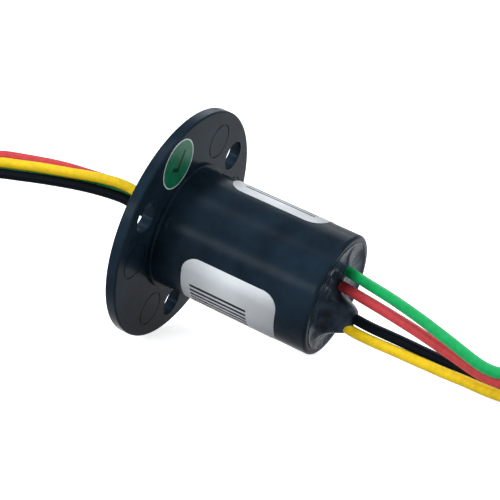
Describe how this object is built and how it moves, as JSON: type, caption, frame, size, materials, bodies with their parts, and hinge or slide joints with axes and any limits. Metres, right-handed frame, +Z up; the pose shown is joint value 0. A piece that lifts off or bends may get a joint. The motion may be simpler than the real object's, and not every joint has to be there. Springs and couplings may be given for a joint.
{
  "type": "slip ring",
  "caption": "Flanged capsule slip ring: a rotor on ball bearings carries current from each lead behind the flange to one at the end of the body.",
  "frame": {"origin": "centre of the flange's front face, on the rotor's axis", "axes": "Z is up from the surface that the slip ring lies on; the rotor's axis runs from the flange to the far rim of the body in the XZ plane, 18.7 degrees below +X; Y is across the flange"},
  "size_m": [0.1584, 0.0602, 0.0422],
  "materials": {
    "housing_plastic": "moulded black thermoplastic, satin gloss",
    "rotor_plastic": "moulded black thermoplastic",
    "board": "glass-filled board",
    "potting": "dark epoxy, glossy and uneven",
    "brush_block": "phenolic brush carrier",
    "gold": "gold-plated brass",
    "insulator": "ivory insulating resin",
    "copper": "tinned copper conductor",
    "cage": "brass ball cage",
    "bearing_steel": "ground bearing steel",
    "spring_steel": "spring steel",
    "label": "white film label with plain dark fields",
    "sticker": "green film sticker",
    "tie": "black binding wire",
    "lead_green": "green insulation",
    "lead_red": "red insulation",
    "lead_black": "black insulation",
    "lead_yellow": "yellow insulation"
  },
  "bodies": {
    "root": {"housing": "housing_plastic", "end_plate": "board", "end_potting": "potting", "brush_block_left": "brush_block", "brush_block_right": "brush_block", "brush_wires_1": "gold", "brush_wires_2": "gold", "brush_wires_3": "gold", "brush_wires_4": "gold", "stator_jumpers": "copper", "front_bearing_outer": "bearing_steel", "rear_bearing_outer": "bearing_steel", "wave_washer": "spring_steel", "side_label": "label", "top_label": "label", "round_sticker": "sticker", "stator_lead_yellow": "lead_yellow", "stator_lead_black": "lead_black", "stator_lead_red": "lead_red", "stator_lead_green": "lead_green", "stator_coil": "lead_green", "stator_coil_tie": "tie", "rotor_lead_black": "lead_black", "rotor_lead_green": "lead_green", "rotor_lead_yellow": "lead_yellow", "rotor_lead_red": "lead_red", "rotor_coil": "lead_red", "rotor_coil_tie": "tie"},
    "rotor": {"rotor_shaft": "rotor_plastic", "contact_ring_1": "gold", "contact_ring_2": "gold", "contact_ring_3": "gold", "contact_ring_4": "gold", "ring_barrier_1": "insulator", "ring_barrier_2": "insulator", "ring_barrier_3": "insulator", "ring_barrier_4": "insulator", "ring_barrier_5": "insulator", "rotor_clip": "spring_steel", "rotor_jumpers": "copper", "rotor_potting": "potting", "front_bearing_inner": "bearing_steel", "rear_bearing_inner": "bearing_steel"},
    "front_balls": {"front_bearing_balls": "bearing_steel", "front_bearing_cage": "cage"},
    "rear_balls": {"rear_bearing_balls": "bearing_steel", "rear_bearing_cage": "cage"}
  },
  "joints": [
    {"name": "rotor_turn", "type": "hinge", "parent": "root", "child": "rotor", "pos_m": [0, 0, 0], "axis": [0.9473, 0, -0.3203], "continuous": true},
    {"name": "front_balls_turn", "type": "hinge", "parent": "root", "child": "front_balls", "pos_m": [0, 0, 0], "axis": [0.9473, 0, -0.3203], "continuous": true},
    {"name": "rear_balls_turn", "type": "hinge", "parent": "root", "child": "rear_balls", "pos_m": [0, 0, 0], "axis": [0.9473, 0, -0.3203], "continuous": true}
  ],
  "couplings": [
    {"joint": "front_balls_turn", "follows": "rotor_turn", "ratio": 0.4091},
    {"joint": "rear_balls_turn", "follows": "rotor_turn", "ratio": 0.4091}
  ]
}
